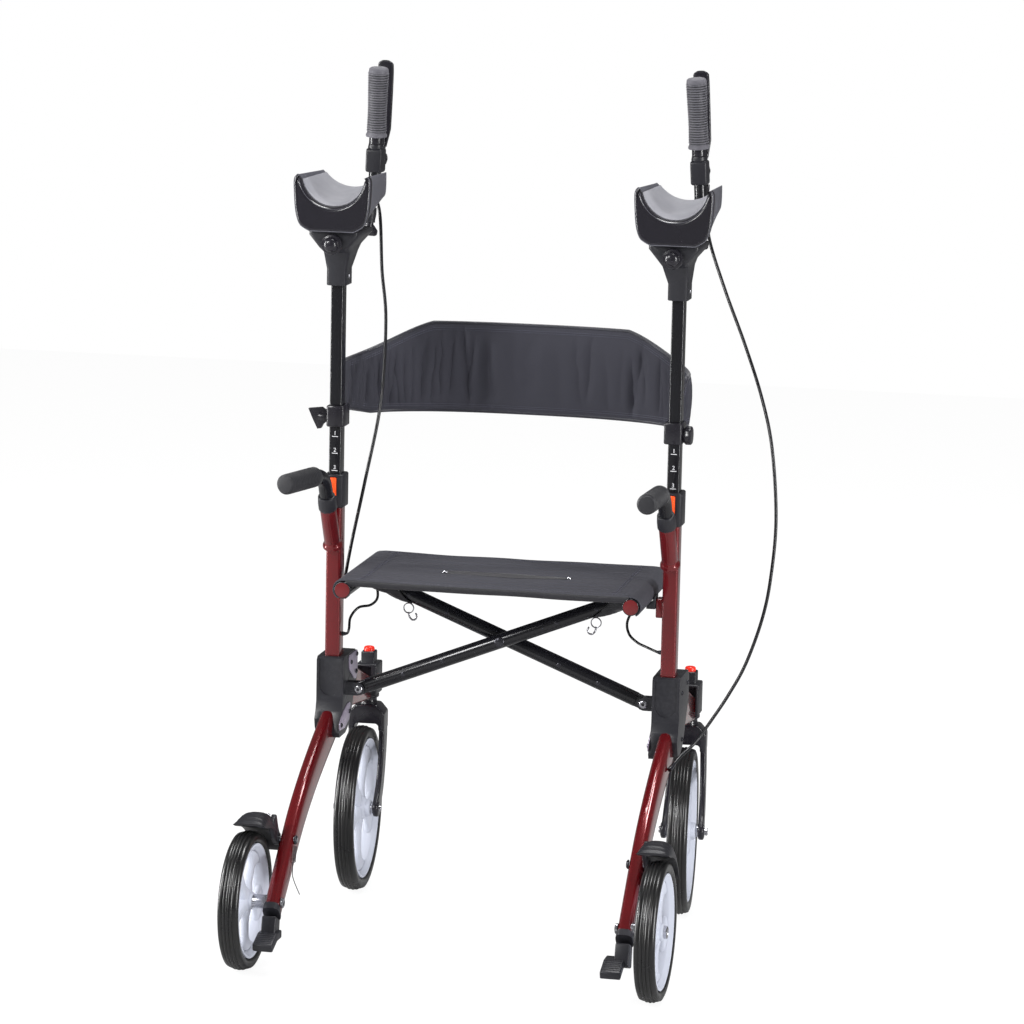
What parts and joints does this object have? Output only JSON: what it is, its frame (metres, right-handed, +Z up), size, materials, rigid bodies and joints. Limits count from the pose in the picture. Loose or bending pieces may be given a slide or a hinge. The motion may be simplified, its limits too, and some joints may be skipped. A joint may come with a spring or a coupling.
{
  "type": "rollator",
  "caption": "Folding upright rollator with forearm troughs, vertical brake grips, sling seat, backrest band, scissor cross bars, front casters and braked rear wheels.",
  "frame": {"origin": "centre of the bounding box on the floor plane the wheels stand on", "axes": "+Z up, +Y forward in the walking direction, +X to the user's right"},
  "size_m": [0.7172, 0.6974, 1.2695],
  "materials": {
    "frame_red": "glossy dark red metallic lacquer",
    "tube_black": "satin black lacquer",
    "plastic_black": "fine-grained black plastic",
    "foam_grey": "soft matte grip with fine ribs",
    "rim_silver": "silver satin lacquer",
    "tyre_black": "smooth black tyre with fine grooves",
    "signal_red": "glossy red",
    "signal_orange": "glossy orange",
    "seat_cloth": "matte woven cloth with stitched lines",
    "band_cloth": "satin coated cloth over foam",
    "cable_black": "smooth black cable sheath"
  },
  "bodies": {
    "frame_left": {"frame_post_left": "frame_red", "seat_saddle_left": "plastic_black", "joint_block_left": "plastic_black", "caster_head_left": "plastic_black", "rear_leg_left": "frame_red", "curb_pedal_left": "plastic_black", "height_collar_left": "plastic_black", "stand_handle_left": "tube_black", "brake_cable_left": "cable_black", "lock_cable_left": "cable_black"},
    "frame_right": {"frame_post_right": "frame_red", "seat_saddle_right": "plastic_black", "joint_block_right": "plastic_black", "caster_head_right": "plastic_black", "rear_leg_right": "frame_red", "curb_pedal_right": "plastic_black", "height_collar_right": "plastic_black", "stand_handle_right": "tube_black", "brake_cable_right": "cable_black", "lock_cable_right": "cable_black"},
    "cross_rear": {"cross_bar_rear": "tube_black", "seat_sling": "seat_cloth"},
    "cross_front": {"cross_bar_front": "tube_black"},
    "upper_left": {"inner_tube_left": "tube_black", "trough_bracket_left": "plastic_black", "arm_trough_left": "plastic_black"},
    "backrest_left": {"backrest_clamp_left": "plastic_black", "backrest_band": "band_cloth"},
    "handle_left": {"handle_rod_left": "tube_black", "hand_grip_left": "foam_grey"},
    "lever_left": {"brake_lever_left": "tube_black"},
    "band_knob_left": {"clamp_knob_left": "plastic_black"},
    "trough_clamp_left": {"trough_knob_left": "plastic_black"},
    "rod_clamp_left": {"rod_knob_left": "plastic_black"},
    "caster_left": {"caster_fork_left": "tube_black"},
    "front_wheel_left": {"front_tyre_left": "tyre_black", "front_rim_left": "rim_silver"},
    "rear_wheel_left": {"rear_tyre_left": "tyre_black", "rear_rim_left": "rim_silver"},
    "brake_left": {"brake_shoe_left": "plastic_black"},
    "release_left": {"release_button_left": "signal_red"},
    "height_catch_left": {"height_button_left": "signal_orange"},
    "upper_right": {"inner_tube_right": "tube_black", "trough_bracket_right": "plastic_black", "arm_trough_right": "plastic_black"},
    "backrest_right": {"backrest_clamp_right": "plastic_black"},
    "handle_right": {"handle_rod_right": "tube_black", "hand_grip_right": "foam_grey"},
    "lever_right": {"brake_lever_right": "tube_black"},
    "band_knob_right": {"clamp_knob_right": "plastic_black"},
    "trough_clamp_right": {"trough_knob_right": "plastic_black"},
    "rod_clamp_right": {"rod_knob_right": "plastic_black"},
    "caster_right": {"caster_fork_right": "tube_black"},
    "front_wheel_right": {"front_tyre_right": "tyre_black", "front_rim_right": "rim_silver"},
    "rear_wheel_right": {"rear_tyre_right": "tyre_black", "rear_rim_right": "rim_silver"},
    "brake_right": {"brake_shoe_right": "plastic_black"},
    "release_right": {"release_button_right": "signal_red"},
    "height_catch_right": {"height_button_right": "signal_orange"}
  },
  "joints": [
    {"name": "fold", "type": "hinge", "parent": "frame_left", "child": "cross_rear", "pos_m": [-0.25678, 0.08027, 0.347], "axis": [0, -1, 0], "range_deg": [0, 53.2], "deforming": ["seat_sling", "backrest_band", "lock_cable_left", "lock_cable_right"]},
    {"name": "fold_crossing", "type": "hinge", "parent": "cross_rear", "child": "cross_front", "pos_m": [-0.04278, 0.10427, 0.4325], "axis": [0, -1, 0], "range_deg": [-106.5, 0]},
    {"name": "fold_right_frame", "type": "hinge", "parent": "cross_front", "child": "frame_right", "pos_m": [0.17122, 0.10427, 0.347], "axis": [0, -1, 0], "range_deg": [0, 53.25]},
    {"name": "caster_swivel_left", "type": "hinge", "parent": "frame_left", "child": "caster_left", "pos_m": [-0.29478, 0.29427, 0.277], "axis": [0, 0, 1], "continuous": true},
    {"name": "front_spin_left", "type": "hinge", "parent": "caster_left", "child": "front_wheel_left", "pos_m": [-0.29096, 0.22137, 0.127], "axis": [0.9986, 0.0523, 0], "continuous": true},
    {"name": "rear_spin_left", "type": "hinge", "parent": "frame_left", "child": "rear_wheel_left", "pos_m": [-0.34078, -0.24873, 0.1], "axis": [1, 0, 0], "continuous": true},
    {"name": "brake_lever_left", "type": "hinge", "parent": "handle_left", "child": "lever_left", "pos_m": [-0.2909, 0.30359, 1.12118], "axis": [0.9988, 0, -0.0489], "range_deg": [0, 9.5], "stiffness_Nm_per_rad": 0.8, "springref_deg": -17.19},
    {"name": "brake_arm_left", "type": "hinge", "parent": "frame_left", "child": "brake_left", "pos_m": [-0.31118, -0.17373, 0.174], "axis": [1, 0, 0], "range_deg": [0, 2.2]},
    {"name": "height_slide_left", "type": "slide", "parent": "frame_left", "child": "upper_left", "axis": [0, 0, 1], "range_m": [-0.0508, 0.1016], "deforming": ["brake_cable_left"]},
    {"name": "height_button_left", "type": "slide", "parent": "frame_left", "child": "height_catch_left", "axis": [0, 1, 0], "range_m": [0, 0.003], "stiffness_N_per_m": 500, "springref_m": -0.003},
    {"name": "caster_release_left", "type": "slide", "parent": "frame_left", "child": "release_left", "axis": [0, 0, -1], "range_m": [0, 0.004], "stiffness_N_per_m": 400, "springref_m": -0.004},
    {"name": "backrest_slide_left", "type": "slide", "parent": "upper_left", "child": "backrest_left", "axis": [0, 0, 1], "range_m": [0, 0.12]},
    {"name": "backrest_knob_left", "type": "hinge", "parent": "backrest_left", "child": "band_knob_left", "pos_m": [-0.30958, 0.07406, 0.7556], "axis": [1, 0, 0], "continuous": true},
    {"name": "trough_knob_left", "type": "hinge", "parent": "upper_left", "child": "trough_clamp_left", "pos_m": [-0.29428, 0.02827, 1.0177], "axis": [0, 1, 0], "continuous": true},
    {"name": "handle_slide_left", "type": "slide", "parent": "upper_left", "child": "handle_left", "axis": [0, 1, 0], "range_m": [-0.03, 0.04]},
    {"name": "rod_knob_left", "type": "hinge", "parent": "handle_left", "child": "rod_clamp_left", "pos_m": [-0.29546, 0.25626, 1.02803], "axis": [0.0489, 0, 0.9988], "continuous": true},
    {"name": "caster_swivel_right", "type": "hinge", "parent": "frame_right", "child": "caster_right", "pos_m": [0.20922, 0.29427, 0.277], "axis": [0, 0, 1], "continuous": true},
    {"name": "front_spin_right", "type": "hinge", "parent": "caster_right", "child": "front_wheel_right", "pos_m": [0.21558, 0.22155, 0.127], "axis": [0.9962, 0.0872, 0], "continuous": true},
    {"name": "rear_spin_right", "type": "hinge", "parent": "frame_right", "child": "rear_wheel_right", "pos_m": [0.25522, -0.24873, 0.1], "axis": [1, 0, 0], "continuous": true},
    {"name": "brake_lever_right", "type": "hinge", "parent": "handle_right", "child": "lever_right", "pos_m": [0.20534, 0.30359, 1.12118], "axis": [0.9988, 0, 0.0489], "range_deg": [0, 9.5], "stiffness_Nm_per_rad": 0.8, "springref_deg": -17.19},
    {"name": "brake_arm_right", "type": "hinge", "parent": "frame_right", "child": "brake_right", "pos_m": [0.22562, -0.17373, 0.174], "axis": [1, 0, 0], "range_deg": [0, 2.2]},
    {"name": "height_slide_right", "type": "slide", "parent": "frame_right", "child": "upper_right", "axis": [0, 0, 1], "range_m": [-0.0508, 0.1016], "deforming": ["brake_cable_right"]},
    {"name": "height_button_right", "type": "slide", "parent": "frame_right", "child": "height_catch_right", "axis": [0, 1, 0], "range_m": [0, 0.003], "stiffness_N_per_m": 500, "springref_m": -0.003},
    {"name": "caster_release_right", "type": "slide", "parent": "frame_right", "child": "release_right", "axis": [0, 0, -1], "range_m": [0, 0.004], "stiffness_N_per_m": 400, "springref_m": -0.004},
    {"name": "backrest_slide_right", "type": "slide", "parent": "upper_right", "child": "backrest_right", "axis": [0, 0, 1], "range_m": [0, 0.12]},
    {"name": "backrest_knob_right", "type": "hinge", "parent": "backrest_right", "child": "band_knob_right", "pos_m": [0.22402, 0.07406, 0.7556], "axis": [1, 0, 0], "continuous": true},
    {"name": "trough_knob_right", "type": "hinge", "parent": "upper_right", "child": "trough_clamp_right", "pos_m": [0.20872, 0.02827, 1.0177], "axis": [0, 1, 0], "continuous": true},
    {"name": "handle_slide_right", "type": "slide", "parent": "upper_right", "child": "handle_right", "axis": [0, 1, 0], "range_m": [-0.03, 0.04]},
    {"name": "rod_knob_right", "type": "hinge", "parent": "handle_right", "child": "rod_clamp_right", "pos_m": [0.20989, 0.25626, 1.02803], "axis": [-0.0489, 0, 0.9988], "continuous": true}
  ],
  "couplings": [
    {"joint": "fold_crossing", "follows": "fold", "ratio": -2},
    {"joint": "fold_right_frame", "follows": "fold", "ratio": 1},
    {"joint": "brake_arm_left", "follows": "brake_lever_left", "ratio": 0.23},
    {"joint": "brake_arm_right", "follows": "brake_lever_right", "ratio": 0.23},
    {"joint": "height_slide_right", "follows": "height_slide_left", "ratio": 1},
    {"joint": "backrest_slide_right", "follows": "backrest_slide_left", "ratio": 1}
  ]
}
